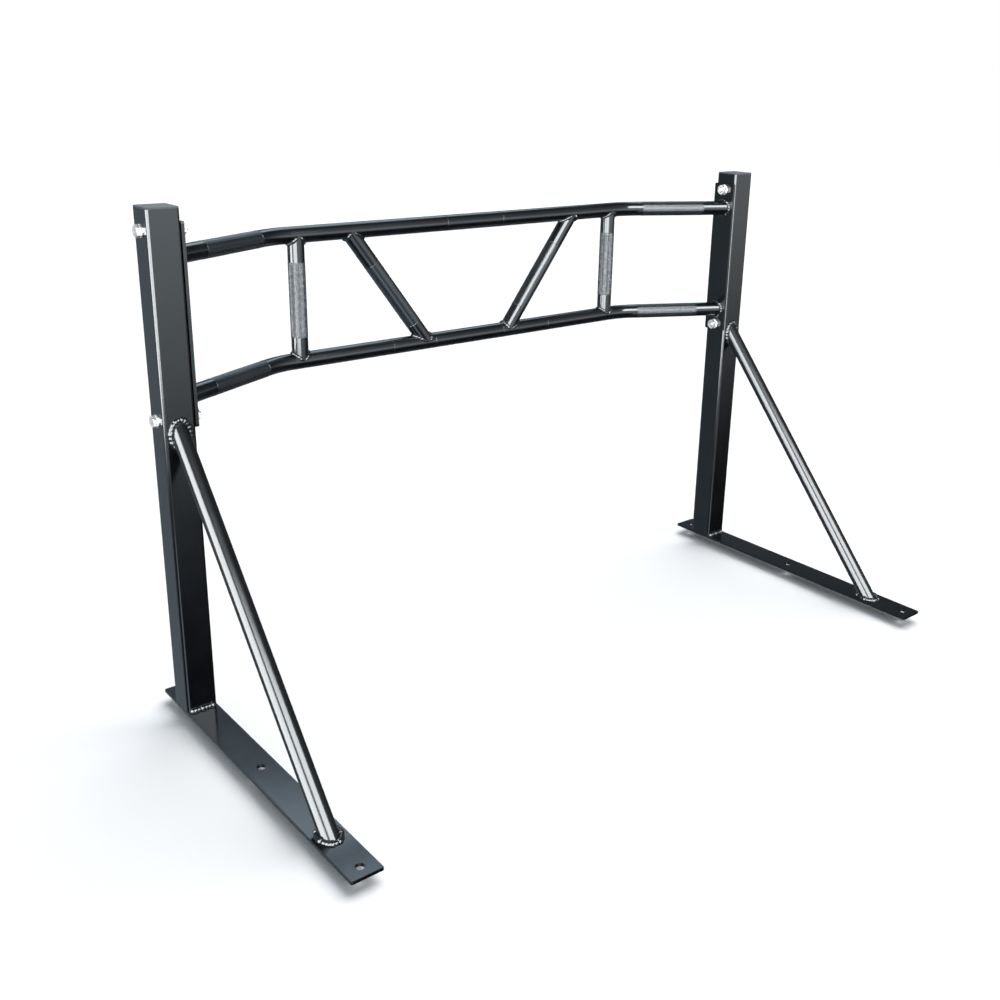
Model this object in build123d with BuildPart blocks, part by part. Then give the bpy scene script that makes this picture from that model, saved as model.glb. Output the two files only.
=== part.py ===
import os
from math import atan2, cos, radians, sin, tan

from build123d import *

os.makedirs("parts", exist_ok=True)

# A bolt-together pull-up bar: two square posts on flat anchor plates, each propped by a slanted brace,
# carry one welded rack of two bars with upright and angled grips between them.
# All lengths are in millimetres. The origin is the centre of the four outer anchor holes, on the
# mounting face. +X runs along the bars, +Y from the braces to the posts, +Z away from the mounting face.

# Posts, anchor plates and end caps
overall_width = 1284
overall_height = 804
post_size = 50
post_wall = 3
post_corner = 5
plate_length = 600
plate_thickness = 5
plate_tail = 45  # plate left showing behind each post
plate_corner = 2
plate_edge_chamfer = 0.5
anchor_hole_diameter = 13
anchor_pitch = 280
cap_head = 2.5
cap_edge_radius = 1.5
cap_plug_depth = 14
cap_plug_wall = 2.5
cap_clearance = 0.15

# Braces
brace_foot_y = -200
brace_top_z = 470

# The rack of bars
tube_diameter = 28
tube_wall = 2.5
upper_bar_z = 733
lower_bar_z = 522
bar_set_back = 94  # the middle of each bar stands this far behind the posts' middle
bend_x = 392
bend_radius = 120
bar_spare = 20  # run past each flange before the bars are cut off there
flange_length = 305
flange_thickness = 5
flange_corner = 3
flange_middle_z = 630
grip_x = 350
angled_grip_top_x = 251
angled_grip_bottom_x = 93

# M10 fasteners
bolt_pitch = 280
bolt_diameter = 10
bolt_length = 70
bolt_hole_diameter = 11
bolt_tip_chamfer = 0.8
hex_across_flats = 17
head_height = 6.4
hex_chamfer = 0.7
nut_height = 8
washer_diameter = 20
washer_thickness = 2
thread_clearance = 0.1

# Weld beads
bead_leg = 4.5
bead_lip = 0.4  # how far a collar bead stands off its tube at its upper rim
bead_crown = 0.62  # how far out the middle of a post bead bulges, as a share of its leg
bead_radius = 3.2
pass_angle = 78  # each pass stops this far either side of its middle
post_bead_length = 42

# Worked out from the sizes above
post_x = (overall_width - post_size) / 2
post_y = plate_length / 2 - plate_tail - post_size / 2
post_front = post_y - post_size / 2
post_back = post_y + post_size / 2
post_length = overall_height - plate_thickness - cap_head
post_inner = post_size - 2 * post_wall
bar_y = post_y + bar_set_back
tube_radius = tube_diameter / 2
flange_face = overall_width / 2 - post_size - flange_thickness
bolt_heights = [flange_middle_z - bolt_pitch / 2, flange_middle_z + bolt_pitch / 2]
hex_corner_radius = hex_across_flats / 2 / cos(radians(30))
bar_turn = atan2(bar_set_back, flange_face - bend_x)
brace_run = Vector(0, post_front - brace_foot_y, brace_top_z - plate_thickness)


def save(piece, name):
    piece.part.label = name
    export_step(piece.part, f"parts/{name}.step")


def tube_section(wall=tube_wall):
    Circle(tube_radius)
    if wall:
        Circle(tube_radius - wall, mode=Mode.SUBTRACT)


def straight_tube(start, end, spare, wall=tube_wall, seam=0):
    """A round tube from start to end, run on past both by spare, its seam line turned by seam degrees."""
    along = (end - start).normalized()
    with BuildPart() as tube:
        with BuildSketch(Plane(origin=start - along * spare, z_dir=along).rotated((0, 0, seam))):
            tube_section(wall)
        extrude(amount=(end - start).length + 2 * spare)
    return tube


def bent_bar(height, wall=tube_wall):
    """A bar bent back at both ends of its middle, cut square against the flange faces."""
    outer_x = flange_face + bar_spare
    outer_y = post_y - bar_spare * tan(bar_turn)
    with BuildPart() as bar:
        with BuildLine(Plane.XY.offset(height)) as route:
            FilletPolyline(
                (-outer_x, outer_y), (-bend_x, bar_y), (bend_x, bar_y), (outer_x, outer_y), radius=bend_radius
            )
        with BuildSketch(Plane(origin=route.line @ 0, z_dir=route.line % 0)):
            tube_section(wall)
        sweep(path=route.line)
        for end in (-1, 1):
            split(bisect_by=Plane(origin=(end * flange_face, 0, 0), z_dir=(-end, 0, 0)), keep=Keep.TOP)
    return bar


def collar_bead(seat, along, core):
    """A bead round the foot of a tube that leans off a flat face; seat's x axis is the way it leans."""
    cosine = along.dot(seat.z_dir)
    lean = (1 - cosine**2) ** 0.5 / cosine
    with BuildPart() as bead:
        with BuildSketch(seat):
            Ellipse((tube_radius + bead_leg) / cosine, tube_radius + bead_leg)
        with BuildSketch(seat.offset(bead_leg)):
            with Locations((bead_leg * lean, 0)):
                Ellipse((tube_radius + bead_lip) / cosine, tube_radius + bead_lip)
        loft()
        add(core.part, mode=Mode.SUBTRACT)
    return bead


def saddle_bead(joint, along, cores):
    """A bead in two passes round a tube that runs off from the middle of a bar of the same size."""
    across = Vector(0, 1, 0)
    with BuildPart() as bead:
        for bar_way in (-1, 1):
            half_turn = along.get_angle(Vector(bar_way, 0, 0)) / 2
            middle = (along + Vector(bar_way, 0, 0)).normalized()
            crotch = Plane(origin=joint, x_dir=middle, z_dir=middle.cross(across))
            with BuildLine(crotch) as route:
                EllipticalCenterArc(
                    (0, 0), tube_radius / sin(radians(half_turn)), tube_radius,
                    start_angle=-pass_angle, arc_size=2 * pass_angle,
                )
            with BuildSketch(Plane(origin=route.line @ 0, z_dir=route.line % 0)):
                Circle(bead_radius)
            sweep(path=route.line)
        for core in cores:
            add(core.part, mode=Mode.SUBTRACT)
    return bead


def hexagon(seat, height):
    """A hexagon standing on seat, with the corners of its far end turned off."""
    with BuildPart() as block:
        with BuildSketch(seat):
            Circle(hex_corner_radius)
        extrude(amount=height)
        flat_faces = block.faces().filter_by(GeomType.PLANE)
        far_end = flat_faces.sort_by(lambda face: seat.to_local_coords(face.center()).Z)[-1]
        chamfer(far_end.edges(), length=hex_chamfer)
        with BuildSketch(seat):
            RegularPolygon(hex_across_flats / 2, side_count=6, major_radius=False)
        extrude(amount=height, mode=Mode.INTERSECT)
    return block


def washer_on(seat):
    """A flat washer lying on seat."""
    with BuildPart() as washer:
        with BuildSketch(seat):
            Circle(washer_diameter / 2)
            Circle(bolt_hole_diameter / 2, mode=Mode.SUBTRACT)
        extrude(amount=washer_thickness)
    return washer


# The two bars and their solid cores, which trim what meets them
upper_bar = bent_bar(upper_bar_z)
lower_bar = bent_bar(lower_bar_z)
save(upper_bar, "upper_bar")
save(lower_bar, "lower_bar")
upper_core = bent_bar(upper_bar_z, wall=0)
lower_core = bent_bar(lower_bar_z, wall=0)

for side_name, side in (("left", -1), ("right", 1)):

    # Anchor plate, with one hole behind the post, one halfway and one at the far end
    with BuildPart() as foot_plate:
        with BuildSketch():
            with Locations((side * post_x, 0)):
                RectangleRounded(post_size, plate_length, plate_corner)
            with Locations(*[(side * post_x, step * anchor_pitch) for step in (-1, 0, 1)]):
                Circle(anchor_hole_diameter / 2, mode=Mode.SUBTRACT)
        extrude(amount=plate_thickness)
        chamfer(foot_plate.edges().group_by(Axis.Z)[-1], plate_edge_chamfer)
    save(foot_plate, f"{side_name}_foot_plate")

    # Square post, cross-drilled for the two bolts
    with BuildPart() as post:
        with BuildSketch(Plane.XY.offset(plate_thickness)):
            with Locations((side * post_x, post_y)):
                RectangleRounded(post_size, post_size, post_corner)
                RectangleRounded(post_inner, post_inner, post_corner - post_wall, mode=Mode.SUBTRACT)
        extrude(amount=post_length)
        with BuildSketch(Plane.YZ):
            with Locations(*[(post_y, height) for height in bolt_heights]):
                Circle(bolt_hole_diameter / 2)
        extrude(amount=overall_width, both=True, mode=Mode.SUBTRACT)
    save(post, f"{side_name}_post")

    # Push-in cap: a thin rounded head over the tube's end and a hollow plug inside it
    with BuildPart() as cap:
        with BuildSketch(Plane.XY.offset(plate_thickness + post_length)):
            with Locations((side * post_x, post_y)):
                RectangleRounded(post_size, post_size, post_corner)
        extrude(amount=cap_head)
        fillet(cap.edges().group_by(Axis.Z)[-1], cap_edge_radius)
        with BuildSketch(Plane.XY.offset(plate_thickness + post_length)):
            plug = post_inner - 2 * cap_clearance
            hollow = plug - 2 * cap_plug_wall
            with Locations((side * post_x, post_y)):
                RectangleRounded(plug, plug, post_corner - post_wall)
                Rectangle(hollow, hollow, mode=Mode.SUBTRACT)
        extrude(amount=-cap_plug_depth)
    save(cap, f"{side_name}_post_cap")

    # Beads along the foot of the post, in front and behind
    for face_name, face_y, outward in (("front", post_front, -1), ("back", post_back, 1)):
        with BuildPart() as post_bead:
            with BuildSketch(Plane.YZ.offset(side * post_x - post_bead_length / 2)):
                with BuildLine():
                    corner = (face_y, plate_thickness)
                    toe = (face_y + outward * bead_leg, plate_thickness)
                    bulge = bead_leg * bead_crown
                    crown = (face_y + outward * bulge, plate_thickness + bulge)
                    top = (face_y, plate_thickness + bead_leg)
                    Line(corner, toe)
                    ThreePointArc(toe, crown, top)
                    Line(top, corner)
                make_face()
            extrude(amount=post_bead_length)
        save(post_bead, f"{side_name}_post_{face_name}_weld")

    # Brace from the anchor plate up to the front of the post
    brace_foot = Vector(side * post_x, brace_foot_y, plate_thickness)
    brace_top = brace_foot + brace_run
    along = brace_run.normalized()
    brace_tube = straight_tube(brace_foot, brace_top, tube_diameter)
    with BuildPart() as brace:
        add(brace_tube.part)
        split(bisect_by=Plane.XY.offset(plate_thickness), keep=Keep.TOP)
        split(bisect_by=Plane.XZ.offset(-post_front), keep=Keep.TOP)
    save(brace, f"{side_name}_brace")
    brace_core = straight_tube(brace_foot, brace_top, 2 * tube_diameter, wall=0)
    foot_seat = Plane(origin=brace_foot, x_dir=(0, 1, 0), z_dir=(0, 0, 1))
    save(collar_bead(foot_seat, along, brace_core), f"{side_name}_brace_foot_weld")
    top_seat = Plane(origin=brace_top, x_dir=(0, 0, -1), z_dir=(0, -1, 0))
    save(collar_bead(top_seat, -along, brace_core), f"{side_name}_brace_top_weld")

    # Flange that the bars are welded to, bolted flat against the inside of the post
    with BuildPart() as flange:
        with BuildSketch(Plane.YZ.offset(side * flange_face)):
            with Locations((post_y, flange_middle_z)):
                RectangleRounded(post_size, flange_length, flange_corner)
            with Locations(*[(post_y, height) for height in bolt_heights]):
                Circle(bolt_hole_diameter / 2, mode=Mode.SUBTRACT)
        extrude(amount=side * flange_thickness)
    save(flange, f"{side_name}_flange")

    # Beads round the ends of the bars, on the flange
    for bar_name, height, core in (("upper", upper_bar_z, upper_core), ("lower", lower_bar_z, lower_core)):
        seat = Plane(origin=(side * flange_face, post_y, height), x_dir=(0, 1, 0), z_dir=(-side, 0, 0))
        along = Vector(-side * cos(bar_turn), sin(bar_turn), 0)
        save(collar_bead(seat, along, core), f"{side_name}_{bar_name}_bar_weld")

    # Upright and angled grips between the bars, with their beads. Each core's seam line is turned to a side
    # that the grip's beads don't cross.
    grips = (("grip", grip_x, grip_x, 90), ("angled_grip", angled_grip_top_x, angled_grip_bottom_x, 0))
    for grip_name, top_x, bottom_x, seam in grips:
        top = Vector(side * top_x, bar_y, upper_bar_z)
        bottom = Vector(side * bottom_x, bar_y, lower_bar_z)
        grip_tube = straight_tube(bottom, top, 0)
        with BuildPart() as grip:
            add(grip_tube.part)
            add(upper_core.part, mode=Mode.SUBTRACT)
            add(lower_core.part, mode=Mode.SUBTRACT)
        save(grip, f"{side_name}_{grip_name}")
        grip_core = straight_tube(bottom, top, tube_radius, wall=0, seam=seam)
        down = (bottom - top).normalized()
        grip_ends = (("top", top, down, upper_core), ("foot", bottom, -down, lower_core))
        for end_name, joint, way, core in grip_ends:
            save(saddle_bead(joint, way, (core, grip_core)), f"{side_name}_{grip_name}_{end_name}_weld")

    # Bolts from the outside of the post, with a washer under each head and a washer and nut inside
    for place, height in zip(("lower", "upper"), bolt_heights):
        name = f"{side_name}_{place}"
        outer_face = Plane(origin=(side * overall_width / 2, post_y, height), z_dir=(side, 0, 0))
        inner_face = Plane(origin=(side * flange_face, post_y, height), z_dir=(-side, 0, 0))
        save(washer_on(outer_face), f"{name}_head_washer")
        save(washer_on(inner_face), f"{name}_nut_washer")

        head_seat = outer_face.offset(washer_thickness)
        head = hexagon(head_seat, head_height)
        with BuildPart() as bolt:
            add(head.part)
            with BuildSketch(head_seat):
                Circle(bolt_diameter / 2)
            extrude(amount=-bolt_length)
            tip = bolt.edges().filter_by(GeomType.CIRCLE).sort_by(Axis.X)[0 if side > 0 else -1]
            chamfer(tip, bolt_tip_chamfer)
        save(bolt, f"{name}_bolt")

        nut_seat = inner_face.offset(washer_thickness)
        nut_block = hexagon(nut_seat, nut_height)
        with BuildPart() as nut:
            add(nut_block.part)
            with BuildSketch(nut_seat):
                Circle(bolt_diameter / 2 + thread_clearance)
            extrude(amount=nut_height, mode=Mode.SUBTRACT)
        save(nut, f"{name}_nut")
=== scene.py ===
from math import cos, hypot, pi, radians, sin, tan

import bmesh
import bpy
from mathutils import Matrix, Vector


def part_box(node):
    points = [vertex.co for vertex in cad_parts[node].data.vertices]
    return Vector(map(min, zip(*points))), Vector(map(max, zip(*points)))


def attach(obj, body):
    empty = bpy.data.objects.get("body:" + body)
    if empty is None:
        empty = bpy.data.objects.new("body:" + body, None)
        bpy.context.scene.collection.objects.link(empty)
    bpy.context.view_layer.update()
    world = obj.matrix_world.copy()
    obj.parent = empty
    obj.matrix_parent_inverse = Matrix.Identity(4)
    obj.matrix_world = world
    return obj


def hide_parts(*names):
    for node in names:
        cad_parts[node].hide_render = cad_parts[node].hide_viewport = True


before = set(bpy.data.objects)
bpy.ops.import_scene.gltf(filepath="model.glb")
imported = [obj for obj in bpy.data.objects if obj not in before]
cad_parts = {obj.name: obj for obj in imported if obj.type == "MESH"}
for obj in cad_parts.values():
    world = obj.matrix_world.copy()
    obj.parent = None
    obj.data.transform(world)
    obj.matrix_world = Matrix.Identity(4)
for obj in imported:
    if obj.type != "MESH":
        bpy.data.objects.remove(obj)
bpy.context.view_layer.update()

scene = bpy.context.scene
mm = 0.001
sides = (("left", -1), ("right", 1))


def middleOf(node):
    low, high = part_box(node)
    return [(a + b) / 2 for a, b in zip(low, high)]


# Shared sizes, read back from the frame
upperLow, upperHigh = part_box("upper_bar")
tubeRadius = (upperHigh.z - upperLow.z) / 2
upperZ = middleOf("upper_bar")[2]
lowerZ = middleOf("lower_bar")[2]
gripX, barY, _ = middleOf("right_grip")
postY = middleOf("right_post")[1]
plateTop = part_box("right_foot_plate")[1].z
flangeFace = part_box("right_flange")[0].x
bendX = 392 * mm  # where each bar turns back towards its flange
barSlope = (postY - barY) / (flangeFace - bendX)
barHeights = (("upper", upperZ), ("lower", lowerZ))

# The angled grips' ends, on the bars' axes
angledTopX = 251 * mm
angledFootX = 93 * mm


def angledEnds(side):
    return Vector((side * angledTopX, barY, upperZ)), Vector((side * angledFootX, barY, lowerZ))


# Camera: angles in degrees, turn from +Y towards +X
view = {
    "place": (-1.2409, -1.3521, 0.9924), "turn": 39.269, "down": 18.638, "roll": 1.141,
    "lens": 40.688, "sensor": 36, "shift": (-0.018, -0.0471), "near": 0.01, "far": 50,
}


def addCamera():
    camData = bpy.data.cameras.new("camera")
    cam = bpy.data.objects.new("camera", camData)
    scene.collection.objects.link(cam)
    turn, down, roll = (radians(view[key]) for key in ("turn", "down", "roll"))
    ahead = Vector((sin(turn) * cos(down), cos(turn) * cos(down), -sin(down)))
    level = Vector((cos(turn), -sin(turn), 0))
    upright = level.cross(ahead)
    right = cos(roll) * level + sin(roll) * upright
    up = -sin(roll) * level + cos(roll) * upright
    pose = Matrix((right, up, -ahead)).transposed().to_4x4()
    pose.translation = Vector(view["place"])
    cam.matrix_world = pose
    camData.sensor_width = view["sensor"]
    camData.lens = view["lens"]
    camData.shift_x, camData.shift_y = view["shift"]
    camData.clip_start, camData.clip_end = view["near"], view["far"]
    scene.camera = cam


addCamera()
print("camera set")


def hexColour(text):
    parts = [int(text[i:i + 2], 16) / 255 for i in (1, 3, 5)]
    linear = [c / 12.92 if c <= 0.04045 else ((c + 0.055) / 1.055) ** 2.4 for c in parts]
    return (*linear, 1)


def addNode(tree, kind, settings=None, links=None):
    # settings are sockets or properties; stops, for a colour ramp, are pairs of place and hex colour
    node = tree.nodes.new(kind)
    for key, value in (settings or {}).items():
        if key == "stops":
            for element, (at, colour) in zip(node.color_ramp.elements, value):
                element.position = at
                element.color = hexColour(colour)
        elif isinstance(key, int) or key in node.inputs:
            node.inputs[key].default_value = value
        else:
            setattr(node, key, value)
    for key, source in (links or {}).items():
        tree.links.new(source, node.inputs[key])
    return node


def newMaterial(name):
    material = bpy.data.materials.new(name)
    material.use_nodes = True
    tree = material.node_tree
    tree.nodes.clear()
    out = addNode(tree, "ShaderNodeOutputMaterial")
    place = addNode(tree, "ShaderNodeTexCoord").outputs["Object"]
    return material, tree, out, place


# Black polyester powder coat, sprayed and oven-cured over mild steel: near black and slightly blue, a high
# gloss with a cool cast, a fine orange-peel skin and a faint cloudiness in the sheen. Sizes are in mm.
coat = {
    "peel": 1.6, "peelDepth": 0.2, "cloud": 60, "smoother": 0.03, "rougher": 0.04, "mirror": 0.58,
    "cast": "#e3ecf2",
}


def powderCoat(name, roughness, bump, dark, light, cloudSize=coat["cloud"]):
    material, tree, out, place = newMaterial(name)
    peel = addNode(
        tree, "ShaderNodeTexNoise", {"Scale": 1 / (coat["peel"] * mm), "Detail": 2.0}, {"Vector": place}
    )
    cloud = addNode(
        tree, "ShaderNodeTexNoise", {"Scale": 1 / (cloudSize * mm), "Detail": 3.0}, {"Vector": place}
    )
    tint = addNode(
        tree, "ShaderNodeValToRGB", {"stops": [(0.3, dark), (0.7, light)]}, {"Fac": cloud.outputs["Fac"]}
    )
    gloss = addNode(
        tree, "ShaderNodeMapRange",
        {"To Min": roughness - coat["smoother"], "To Max": roughness + coat["rougher"]},
        {"Value": cloud.outputs["Fac"]},
    )
    skin = addNode(
        tree, "ShaderNodeBump", {"Strength": bump, "Distance": coat["peelDepth"] * mm},
        {"Height": peel.outputs["Fac"]},
    )
    shader = addNode(
        tree, "ShaderNodeBsdfPrincipled",
        {"IOR": 1.5, "Specular IOR Level": coat["mirror"], "Specular Tint": hexColour(coat["cast"])},
        {
            "Base Color": tint.outputs["Color"], "Roughness": gloss.outputs["Result"],
            "Normal": skin.outputs["Normal"],
        },
    )
    tree.links.new(shader.outputs["BSDF"], out.inputs["Surface"])
    return material


# on flat steel: the deepest black, with the orange peel just in sight
paint = powderCoat("black_powder_coat", roughness=0.13, bump=0.13, dark="#090b0d", light="#0f1215")
# on the braces: a softer streak of light
bracePaint = powderCoat(
    "black_powder_coat_on_brace", roughness=0.2, bump=0.04, dark="#0b0d10", light="#111417"
)
# on the bars and grips: a tight, clean streak
tubePaint = powderCoat(
    "black_powder_coat_on_tube", roughness=0.14, bump=0.04, dark="#0b0d10", light="#111417"
)
# pooled over the welds: wet-looking glints, with a base painted lighter than the tubes' coat as painted sheen
beadPaint = powderCoat(
    "black_powder_coat_on_weld_with_painted_sheen", roughness=0.15, bump=0.05, dark="#14171a", light="#1c2024"
)
# over knurling: a greyer black, its base painted lighter as the sheen that the knurl's facets scatter
knurlPaint = powderCoat("powder_coat_over_knurl_with_painted_sheen", roughness=0.17, bump=0.1, dark="#16191c", light="#212428")
# over the angled grips' knurling: greyer still, painted lighter as the knurl's scattered sheen, with a clean
# streak
angledPaint = powderCoat(
    "powder_coat_over_angled_knurl_with_painted_sheen", roughness=0.12, bump=0.06, dark="#23272a", light="#2d3135"
)
# over the upright grips' knurling: rough and mottled, its base painted much lighter in patches as the sheen
# that the knurl scatters
gripPaint = powderCoat(
    "powder_coat_over_grip_knurl_with_painted_sheen", roughness=0.26, bump=0.5, dark="#25292d", light="#565a5f", cloudSize=6
)

# Bright zinc, electroplated and clear passivated: pale metal, patchy in its sheen. Sizes are in mm; the
# grain and the patches are coarser than real ones, to show at the size of a bolt.
zincLook = {
    "grain": 0.35, "grainDepth": 0.1, "patch": 4.5455, "roughness": 0.36, "smoother": 0.06, "rougher": 0.12,
    "bump": 0.08,
}


def zincPlate(name, low, high):
    material, tree, out, place = newMaterial(name)
    grain = addNode(
        tree, "ShaderNodeTexNoise", {"Scale": 1 / (zincLook["grain"] * mm), "Detail": 3.0}, {"Vector": place}
    )
    patches = addNode(
        tree, "ShaderNodeTexNoise", {"Scale": 1 / (zincLook["patch"] * mm), "Detail": 2.0}, {"Vector": place}
    )
    tint = addNode(
        tree, "ShaderNodeValToRGB", {"stops": [(0.35, low), (0.65, high)]}, {"Fac": patches.outputs["Fac"]}
    )
    gloss = addNode(
        tree, "ShaderNodeMapRange",
        {
            "To Min": zincLook["roughness"] - zincLook["smoother"],
            "To Max": zincLook["roughness"] + zincLook["rougher"],
        },
        {"Value": patches.outputs["Fac"]},
    )
    skin = addNode(
        tree, "ShaderNodeBump", {"Strength": zincLook["bump"], "Distance": zincLook["grainDepth"] * mm},
        {"Height": grain.outputs["Fac"]},
    )
    shader = addNode(
        tree, "ShaderNodeBsdfPrincipled", {"Metallic": 1.0},
        {
            "Base Color": tint.outputs["Color"], "Roughness": gloss.outputs["Result"],
            "Normal": skin.outputs["Normal"],
        },
    )
    tree.links.new(shader.outputs["BSDF"], out.inputs["Surface"])
    return material


# on the bolts, nuts and washers: pale and even
zinc = zincPlate("bright_zinc_plate", low="#b2b4b6", high="#dcdedf")
# in the threads: painted dark, standing for the shade that falls in the thread's grooves
threadShadeZinc = zincPlate("zinc_plate_painted_dark_as_thread_shade", low="#222528", high="#3a3e42")

# Polyethylene tube cap, injection moulded in grey: a soft sheen over a fine spark-eroded grain. Sizes in mm.
capLook = {
    "low": "#595c60", "high": "#686b6f", "grain": 0.5, "grainDepth": 0.2, "bump": 0.12, "roughness": 0.5,
    "mirror": 0.3,
}


def mouldedCap():
    material, tree, out, place = newMaterial("moulded_polyethylene")
    grain = addNode(
        tree, "ShaderNodeTexNoise", {"Scale": 1 / (capLook["grain"] * mm), "Detail": 3.0}, {"Vector": place}
    )
    tint = addNode(
        tree, "ShaderNodeValToRGB", {"stops": [(0.3, capLook["low"]), (0.7, capLook["high"])]},
        {"Fac": grain.outputs["Fac"]},
    )
    skin = addNode(
        tree, "ShaderNodeBump", {"Strength": capLook["bump"], "Distance": capLook["grainDepth"] * mm},
        {"Height": grain.outputs["Fac"]},
    )
    shader = addNode(
        tree, "ShaderNodeBsdfPrincipled",
        {"IOR": 1.5, "Roughness": capLook["roughness"], "Specular IOR Level": capLook["mirror"]},
        {"Base Color": tint.outputs["Color"], "Normal": skin.outputs["Normal"]},
    )
    tree.links.new(shader.outputs["BSDF"], out.inputs["Surface"])
    return material


capPlastic = mouldedCap()
finishes = (
    ("post_cap", capPlastic), (("bolt", "nut", "washer"), zinc), ("brace", bracePaint),
    (("bar", "grip"), tubePaint), ("", paint),
)


def dress(piece, material):
    piece.data.materials.clear()
    piece.data.materials.append(material)


for node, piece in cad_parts.items():
    dress(piece, next(material for endings, material in finishes if node.endswith(endings)))
    if node.endswith("foot_plate"):
        piece.visible_glossy = False  # the feet of the posts stay black, with no second image of the plate
print("materials set")


def deselectAll():
    if bpy.context.object and bpy.context.object.mode != "OBJECT":
        bpy.ops.object.mode_set(mode="OBJECT")
    bpy.ops.object.select_all(action="DESELECT")


def makeActive(piece):
    deselectAll()
    piece.select_set(True)
    bpy.context.view_layer.objects.active = piece


def selectOnly(piece, kind, keep):
    # in edit mode: leaves selected only the edges or faces that keep() says yes to
    bpy.ops.mesh.select_all(action="DESELECT")
    bpy.ops.mesh.select_mode(type=kind)
    mesh = bmesh.from_edit_mesh(piece.data)
    for part in mesh.edges if kind == "EDGE" else mesh.faces:
        if keep(part):
            part.select_set(True)
    bmesh.update_edit_mesh(piece.data)


def faceOutward():
    # in edit mode: turns every face of the piece outward
    bpy.ops.mesh.select_all(action="SELECT")
    bpy.ops.mesh.normals_make_consistent(inside=False)


def fixPlace(piece, place, way):
    # turns a piece modelled along +Z so that it lies along way at place, then bakes that into its mesh
    makeActive(piece)
    piece.rotation_mode = "QUATERNION"
    piece.rotation_quaternion = way.to_track_quat("Z", "Y")
    piece.location = place
    bpy.ops.object.transform_apply(location=True, rotation=True, scale=True)
    piece.rotation_mode = "XYZ"


def finishPiece(piece, name, material, stoodFor=()):
    piece.name = name
    piece.data.name = name
    dress(piece, material)
    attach(piece, "root")
    if stoodFor:
        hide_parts(*stoodFor)


# Diamond knurl rolled into the tube. Real ridges are about 1.4 mm apart, drawn coarser here so that they
# show. rimSection is the rounded rim at each end: share of the rim's width, and height over the tube in mm.
knurl = {
    "cell": 1.95 * mm, "proud": 0.08 * mm, "rimWidth": 0.8 * mm,
    "rimSection": ((0.25, 0.25), (0.5, 0.35), (1.0, 0.35), (1.25, 0.25), (1.5, -0.5)),
}

# The bands: where each starts and stops, how far its points stand up once painted (mm), and its paint.
# The angled grips' shares are counted from the top.
bands = {
    "grip": {"reach": (564, 688), "relief": 0.34, "paint": gripPaint},  # heights on the upright grips
    "angled": {"reach": (0.28, 0.81), "relief": 0.05, "paint": angledPaint},  # shares of the length
    "end": {"reach": (427, 544), "relief": 0.18, "paint": knurlPaint},  # x on the slanting ends of the bars
    "middle": {"relief": 0.04, "paint": tubePaint},
}
# x on the middle of the bars
middleReaches = {"upper": (-51, 73), "left_lower": (-169, -79), "right_lower": (79, 189)}


def knurlBand(name, start, end, band):
    # one wrap of diamonds round a tube, between two points on its axis
    length = (end - start).length
    around = round(2 * pi * tubeRadius / knurl["cell"])
    rows = round(length / knurl["cell"])
    step = length / rows
    skin = tubeRadius + knurl["proud"]
    deselectAll()
    bpy.ops.mesh.primitive_circle_add(vertices=around, radius=skin, fill_type="NOTHING", location=(0, 0, 0))
    wrap = bpy.context.object
    bpy.ops.object.mode_set(mode="EDIT")
    bpy.ops.mesh.select_all(action="SELECT")
    for _ in range(rows):
        bpy.ops.mesh.extrude_region_move(TRANSFORM_OT_translate={"value": (0, 0, step)})
    faceOutward()
    bpy.ops.mesh.poke(offset=0.0, use_relative_offset=False, center_mode="MEDIAN")

    def onGrid(edge):
        # the first grid's own edges, level or upright, which go so that diamonds are left
        rise = abs(edge.verts[0].co.z - edge.verts[1].co.z)
        return not edge.is_boundary and not step / 4 < rise < step * 3 / 4

    selectOnly(wrap, "EDGE", onGrid)
    bpy.ops.mesh.dissolve_edges(use_verts=False, use_face_split=False)
    selectOnly(wrap, "FACE", lambda face: len(face.verts) == 4)
    bpy.ops.mesh.poke(offset=band["relief"] * mm, use_relative_offset=False, center_mode="MEDIAN")
    # each open end rises into a rounded rim, then turns in below the tube's skin
    for endZ, outward in ((0, -1), (length, 1)):
        selectOnly(
            wrap, "EDGE", lambda edge: edge.is_boundary and abs(edge.verts[0].co.z - endZ) < step / 4
        )
        radius, z = skin, endZ
        for share, height in knurl["rimSection"]:
            nextRadius = tubeRadius + height * mm
            nextZ = endZ + outward * knurl["rimWidth"] * share
            growth = nextRadius / radius
            bpy.ops.mesh.extrude_edges_move(TRANSFORM_OT_translate={"value": (0, 0, nextZ - z)})
            bpy.ops.transform.resize(value=(growth, growth, 1), center_override=(0, 0, nextZ))
            radius, z = nextRadius, nextZ
    selectOnly(wrap, "EDGE", lambda edge: edge.is_boundary)
    bpy.ops.mesh.bridge_edge_loops()
    faceOutward()
    bpy.ops.object.mode_set(mode="OBJECT")
    fixPlace(wrap, start, end - start)
    finishPiece(wrap, name, band["paint"])


def onSlope(side, x, z):
    # a point on the axis of a bar's slanting end
    return Vector((side * x, barY + (x - bendX) * barSlope, z))


for sideName, side in sides:
    low, high = (Vector((side * gripX, barY, z * mm)) for z in bands["grip"]["reach"])
    knurlBand(f"{sideName}_grip_knurl", low, high, bands["grip"])
    top, foot = angledEnds(side)
    high, low = (top.lerp(foot, share) for share in bands["angled"]["reach"])
    knurlBand(f"{sideName}_angled_grip_knurl", low, high, bands["angled"])
    for barName, barZ in barHeights:
        near, far = (onSlope(side, x * mm, barZ) for x in bands["end"]["reach"])
        knurlBand(f"{sideName}_{barName}_end_knurl", near, far, bands["end"])

for placeName, reach in middleReaches.items():
    near, far = (Vector((x * mm, barY, upperZ if placeName == "upper" else lowerZ)) for x in reach)
    knurlBand(f"{placeName}_middle_knurl", near, far, bands["middle"])
print("knurled bands made")

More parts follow.
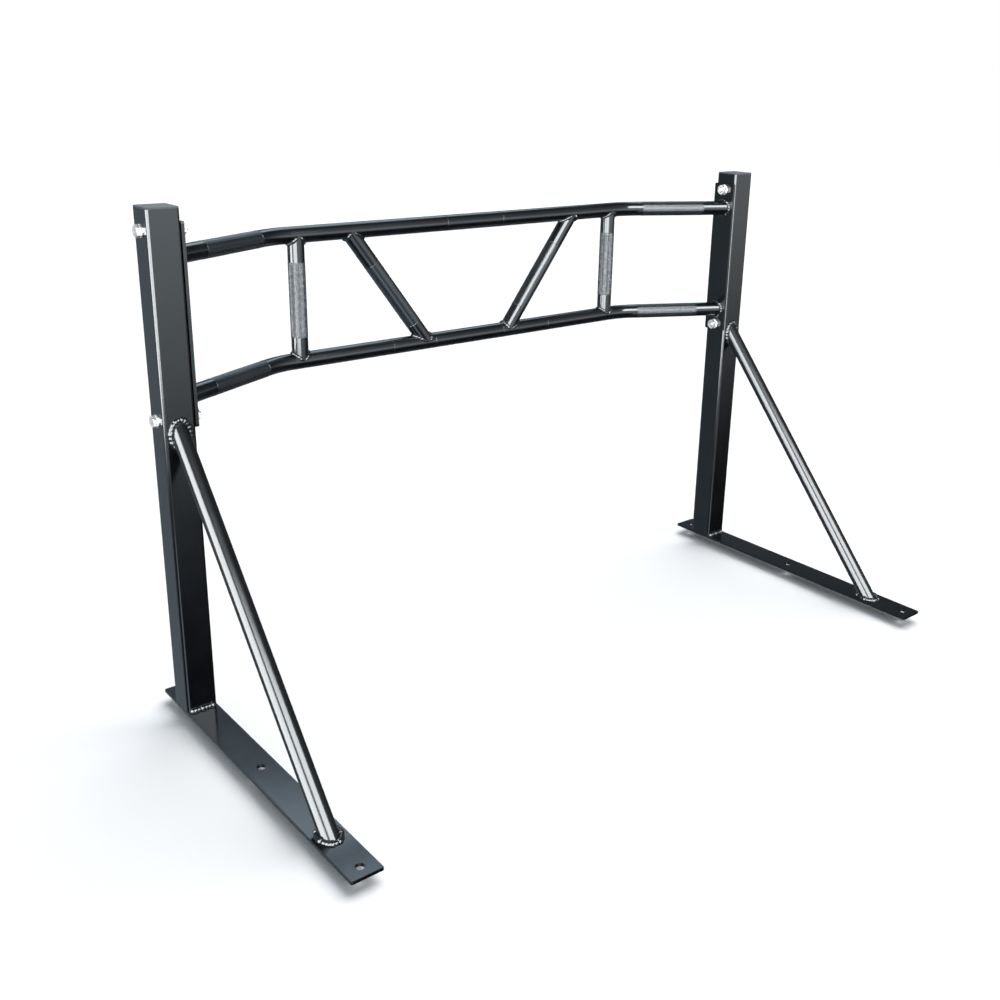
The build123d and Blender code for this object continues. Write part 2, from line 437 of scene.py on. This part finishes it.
# MIG fillets laid by hand: a rope whose puddles overlap like a row of coins, each swelling and dipping,
# with the hand's own unevenness on top. radius and pitch are in metres, reach in degrees round the grip,
# endSize and endGrowth taper an open bead's ends, lift stands the middle line off the tube in radii.
weld = {
    "radius": 3.1 * mm, "braceSize": 1.55, "postSize": 1.6, "pitch": 6.2 * mm, "fewest": 4, "swell": 0.13,
    "level": 0.6, "uneven": 0.15, "wander": 2.3, "endSize": 0.45, "endGrowth": 8, "steps": 9, "sides": 14,
    "reach": 80, "lift": 0.4, "probes": 200,
}


def weldBead(name, route, closed, stoodFor, size=1.0):
    # route(t) gives the bead's middle line for t from 0 to 1
    probe = [route(i / weld["probes"]) for i in range(weld["probes"] + 1)]
    length = sum((b - a).length for a, b in zip(probe, probe[1:]))
    count = max(weld["fewest"], round(length / weld["pitch"])) * weld["steps"]
    data = bpy.data.curves.new(name, "CURVE")
    data.dimensions = "3D"
    data.bevel_mode = "ROUND"
    data.bevel_depth = weld["radius"] * size
    data.bevel_resolution = weld["sides"] // 2 - 1
    data.use_fill_caps = not closed
    spline = data.splines.new("POLY")
    total = count if closed else count + 1
    spline.points.add(total - 1)
    for i, point in enumerate(spline.points):
        share = i / count
        puddle, step = divmod(i, weld["steps"])
        point.co = (*route(share), 1)
        swell = weld["swell"] * (sin(pi * step / weld["steps"]) - weld["level"])
        point.radius = 1 + swell + weld["uneven"] * sin(weld["wander"] * puddle)
        if not closed:
            point.radius *= min(1, weld["endSize"] + weld["endGrowth"] * min(share, 1 - share))
    spline.use_cyclic_u = closed
    bead = bpy.data.objects.new(name, data)
    scene.collection.objects.link(bead)
    makeActive(bead)
    bpy.ops.object.convert(target="MESH")
    bpy.ops.object.mode_set(mode="EDIT")
    bpy.ops.mesh.select_all(action="SELECT")
    bpy.ops.mesh.remove_doubles(threshold=0.01 * mm)
    faceOutward()
    bpy.ops.object.mode_set(mode="OBJECT")
    bpy.ops.object.shade_smooth_by_angle(angle=radians(60))
    finishPiece(bead, name, beadPaint, stoodFor)


def ringRoute(centre, across, along, stretch):
    # the ellipse where a tube meets a flat face, a little outside it; stretch is its length over its width
    radius = tubeRadius + weld["radius"] * weld["lift"]

    def route(t):
        return centre + across * radius * cos(2 * pi * t) + along * radius * stretch * sin(2 * pi * t)
    return route


def saddleRoute(joint, way, below, facing):
    # the line where a tube along way meets a bar of the same radius along X, on one side of the tube
    half = radians(weld["reach"])
    tilt = way.x / way.z

    def route(t):
        turn = half * (2 * t - 1)
        y = tubeRadius * sin(turn)
        z = below * tubeRadius * cos(turn)
        across = facing * tubeRadius * cos(turn) * hypot(1, tilt)
        return joint + Vector((z * tilt + across, y, z))
    return route


alongX, alongY, alongZ = Vector((1, 0, 0)), Vector((0, 1, 0)), Vector((0, 0, 1))
for sideName, side in sides:
    # bar ends on the flanges
    for barName, barZ in barHeights:
        seat = Vector((side * flangeFace, postY, barZ))
        weldBead(
            f"{sideName}_{barName}_bar_bead", ringRoute(seat, alongZ, alongY, hypot(1, barSlope)), True,
            [f"{sideName}_{barName}_bar_weld"],
        )
    # brace ends on the plate and the post
    footX, footY, _ = middleOf(f"{sideName}_brace_foot_weld")
    topX, _, topZ = middleOf(f"{sideName}_brace_top_weld")
    foot = Vector((footX, footY, plateTop))
    top = Vector((topX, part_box(f"{sideName}_brace_top_weld")[1].y, topZ))
    rise = (top - foot).normalized()
    for endName, seat, along, lean in (("foot", foot, alongY, rise.z), ("top", top, alongZ, rise.y)):
        weldBead(
            f"{sideName}_brace_{endName}_bead", ringRoute(seat, alongX, along, 1 / lean), True,
            [f"{sideName}_brace_{endName}_weld"], weld["braceSize"],
        )
    # post feet, front and back
    for endName in ("front", "back"):
        low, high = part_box(f"{sideName}_post_{endName}_weld")
        wallY = high.y if endName == "front" else low.y
        start = Vector((low.x, wallY, plateTop + weld["radius"] * weld["lift"] / 2))
        run = Vector((high.x - low.x, 0, 0))
        weldBead(
            f"{sideName}_post_{endName}_bead", lambda t: start + run * t, False,
            [f"{sideName}_post_{endName}_weld"], weld["postSize"],
        )
    # both ends of both grips, in two passes each; the inner one stands for both
    top, foot = angledEnds(side)
    slant = (top - foot).normalized()
    joints = (
        ("grip_top", Vector((side * gripX, barY, upperZ)), alongZ, -1),
        ("grip_foot", Vector((side * gripX, barY, lowerZ)), alongZ, 1),
        ("angled_grip_top", top, slant, -1),
        ("angled_grip_foot", foot, slant, 1),
    )
    for jointName, joint, way, below in joints:
        for facingName, facing in (("inner", -side), ("outer", side)):
            weldBead(
                f"{sideName}_{jointName}_{facingName}_bead", saddleRoute(joint, way, below, facing), False,
                [f"{sideName}_{jointName}_weld"] if facingName == "inner" else [],
            )
print("weld beads laid")

# The M10 thread that shows past each nut. section is the ridge's outline: along the bolt in shares of its
# width, and out in shares of its height above a root sunk in the shank.
thread = {
    "pitch": 1.5 * mm, "depth": 0.35 * mm, "shank": 4.95 * mm, "root": 0.3 * mm, "width": 0.8, "turns": 1.5,
    "steps": 28, "inset": 0.7 * mm, "section": ((-0.5, 0), (-0.06, 1), (0.5, 0), (0.06, 1)),
}


def boltThread(name, tip, inward):
    deselectAll()
    bpy.ops.mesh.primitive_plane_add(size=1, location=(0, 0, 0))
    ridge = bpy.context.object
    bpy.ops.object.mode_set(mode="EDIT")
    mesh = bmesh.from_edit_mesh(ridge.data)
    corners = sorted(mesh.verts, key=lambda vert: (vert.co.x, vert.co.y))
    for vert, (along, out) in zip(corners, thread["section"]):
        radius = thread["shank"] - thread["root"] + out * (thread["depth"] + thread["root"])
        vert.co = (radius, 0, along * thread["pitch"] * thread["width"])
    bmesh.update_edit_mesh(ridge.data)
    bpy.ops.mesh.delete(type="ONLY_FACE")
    bpy.ops.object.mode_set(mode="OBJECT")
    turn = ridge.modifiers.new("turn", "SCREW")
    turn.angle = 2 * pi * thread["turns"]
    turn.screw_offset = thread["pitch"] * thread["turns"]
    turn.steps = turn.render_steps = round(thread["steps"] * thread["turns"])
    turn.axis = "Z"
    bpy.ops.object.modifier_apply(modifier="turn")
    bpy.ops.object.mode_set(mode="EDIT")
    bpy.ops.mesh.select_all(action="DESELECT")
    bpy.ops.mesh.select_mode(type="EDGE")
    bpy.ops.mesh.select_non_manifold()
    bpy.ops.mesh.edge_face_add()
    faceOutward()
    bpy.ops.object.mode_set(mode="OBJECT")
    bpy.ops.object.shade_smooth_by_angle(angle=radians(30))
    fixPlace(ridge, tip + inward * thread["inset"], inward)
    # the ridge gets the zinc painted dark as the grooves' shade
    finishPiece(ridge, name, threadShadeZinc)


for sideName, side in sides:
    for heightName in ("lower", "upper"):
        node = f"{sideName}_{heightName}_bolt"
        low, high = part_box(node)
        _, boltY, boltZ = middleOf(node)
        tip = Vector((high.x if side < 0 else low.x, boltY, boltZ))
        boltThread(f"{node}_thread", tip, Vector((side, 0, 0)))
print("threads cut")

# Floor and backdrop, in metres. The floor lies a little below the plates, which widens their soft shadow.
stage = {"floorSize": 30, "drop": 16 * mm, "floor": "#f6f7f8", "domeRadius": 14, "back": "#ffffff"}


def addFloor():
    deselectAll()
    bpy.ops.mesh.primitive_plane_add(size=stage["floorSize"], location=(0, 0, -stage["drop"]))
    floor = bpy.context.object
    floor.name = "floor"
    material, tree, out, _ = newMaterial("pale_floor")
    shader = addNode(tree, "ShaderNodeBsdfDiffuse", {"Color": hexColour(stage["floor"])})
    tree.links.new(shader.outputs["BSDF"], out.inputs["Surface"])
    dress(floor, material)
    floor.visible_glossy = False


def addBackdrop():
    # a white dome that lights nothing
    deselectAll()
    bpy.ops.mesh.primitive_uv_sphere_add(segments=48, ring_count=24, radius=stage["domeRadius"])
    dome = bpy.context.object
    dome.name = "backdrop"
    material, tree, out, _ = newMaterial("white_backdrop")
    glow = addNode(tree, "ShaderNodeEmission", {"Color": hexColour(stage["back"]), "Strength": 1.0})
    tree.links.new(glow.outputs["Emission"], out.inputs["Surface"])
    dress(dome, material)
    for ray in ("diffuse", "glossy", "transmission", "volume_scatter", "shadow"):
        setattr(dome, f"visible_{ray}", False)


def towards(look):
    # azimuth in degrees from +X towards +Y
    azimuth, elevation = radians(look["azimuth"]), radians(look["elevation"])
    return Vector((cos(elevation) * cos(azimuth), cos(elevation) * sin(azimuth), sin(elevation)))


# Softboxes and dim cards that the paint mirrors: direction and angular size in degrees, and brightness
softboxes = {
    "left_softbox": {"azimuth": 184, "elevation": 13, "width": 48, "height": 58, "glow": 21},
    "front_left_softbox": {"azimuth": -127, "elevation": 4, "width": 46, "height": 36, "glow": 18.5},
    "front_top_softbox": {"azimuth": -96, "elevation": 34, "width": 52, "height": 30, "glow": 20},
    "front_low_card": {"azimuth": -112, "elevation": -38, "width": 40, "height": 30, "glow": 2.8},
    "back_top_card": {"azimuth": 62, "elevation": 53, "width": 44, "height": 38, "glow": 3.3},
}
softboxDistance = 8
softboxMiddle = Vector((0, 0.1, 0.45))
lampTint = "#fffbf8"
skyTint = "#cddeeb"


def addLamp(name, kind, way):
    lamp = bpy.data.lights.new(name, kind)
    holder = bpy.data.objects.new(name, lamp)
    scene.collection.objects.link(holder)
    holder.location = softboxMiddle + way * softboxDistance
    holder.rotation_euler = (-way).to_track_quat("-Z", "Y").to_euler()
    return lamp, holder


def spareFlatTops(name, holder):
    # the plates and caps don't mirror this lamp, so that they stay dark seen from behind
    receivers = bpy.data.collections.new(f"{name}_receivers")
    for node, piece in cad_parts.items():
        if node.endswith(("foot_plate", "post_cap")):
            receivers.objects.link(piece)
    for entry in receivers.collection_objects:
        entry.light_linking.link_state = "EXCLUDE"
    holder.light_linking.receiver_collection = receivers


def addSoftbox(name, look):
    isCard = name.endswith("card")
    lamp, holder = addLamp(name, "AREA", towards(look))
    lamp.shape = "RECTANGLE"
    lamp.size = 2 * softboxDistance * tan(radians(look["width"] / 2))
    lamp.size_y = 2 * softboxDistance * tan(radians(look["height"] / 2))
    lamp.color = hexColour(skyTint if isCard else lampTint)[:3]
    lamp.energy = look["glow"] * pi * lamp.size * lamp.size_y
    holder.visible_camera = False
    holder.visible_diffuse = False
    if not isCard:
        spareFlatTops(name, holder)


# A dim room round the object. Each fade is two values of a direction's x, y, z or downward slope, and then
# what they become.
room = {
    "frontGlow": 3.6, "frontTint": "#f5f8fa", "frontFade": (0.1, -1.0, 0.0, 1.0), "focus": 1.5,
    "leastAhead": -0.05, "belowFade": (0.55, 0.0, 0.0, 1.0), "aboveFade": (0.0, 0.35, 1.0, 0.35),
    "backFade": (-0.3, 0.4, 0.0, 0.55), "rightFade": (0.3, 0.8, 1.0, 0.3), "tintStop": 0.5,
}


def addWorld():
    world = bpy.data.worlds.new("studio")
    scene.world = world
    world.use_nodes = True
    tree = world.node_tree
    tree.nodes.clear()
    out = addNode(tree, "ShaderNodeOutputWorld")
    way = addNode(tree, "ShaderNodeTexCoord").outputs["Generated"]
    parts = addNode(tree, "ShaderNodeSeparateXYZ", links={"Vector": way})
    x, y, z = (parts.outputs[axis] for axis in "XYZ")

    def fade(source, key, curve="LINEAR"):
        settings = dict(zip(("From Min", "From Max", "To Min", "To Max"), room[key]))
        settings["interpolation_type"] = curve
        return addNode(tree, "ShaderNodeMapRange", settings, {"Value": source}).outputs["Result"]

    def compute(operation, *terms):
        # each term is a number or a socket
        settings = {i: term for i, term in enumerate(terms) if isinstance(term, float)}
        links = {i: term for i, term in enumerate(terms) if not isinstance(term, float)}
        return addNode(tree, "ShaderNodeMath", {"operation": operation, **settings}, links).outputs["Value"]

    # in front: brightest level with the object, black from a steep slope down, and dimmer overhead
    frontness = compute("POWER", fade(y, "frontFade"), room["focus"])
    slope = compute("DIVIDE", z, compute("MINIMUM", y, room["leastAhead"]))
    height = compute("MULTIPLY", fade(slope, "belowFade", "SMOOTHSTEP"), fade(z, "aboveFade"))
    front = compute("MULTIPLY", height, frontness)
    # behind: an even glow that falls away to the right
    back = fade(y, "backFade")
    behind = compute("MULTIPLY", back, fade(x, "rightFade"))
    tint = addNode(
        tree, "ShaderNodeValToRGB", {"stops": [(0.0, room["frontTint"]), (room["tintStop"], skyTint)]},
        {"Fac": back},
    )
    strength = compute("MULTIPLY_ADD", front, room["frontGlow"], behind)
    glow = addNode(tree, "ShaderNodeBackground", links={"Color": tint.outputs["Color"], "Strength": strength})
    tree.links.new(glow.outputs["Background"], out.inputs["Surface"])


# An even, very soft light on the floor from high behind on the right, which the paint doesn't mirror
ceiling = {"azimuth": 25, "elevation": 54, "energy": 3.2, "angle": 62}


def addCeilingLight():
    lamp, holder = addLamp("ceiling_light", "SUN", towards(ceiling))
    lamp.energy = ceiling["energy"]
    lamp.angle = radians(ceiling["angle"])
    holder.visible_glossy = False


addFloor()
addBackdrop()
addWorld()
addCeilingLight()
for name, look in softboxes.items():
    addSoftbox(name, look)
scene.view_settings.view_transform = "Standard"
print("stage lit")
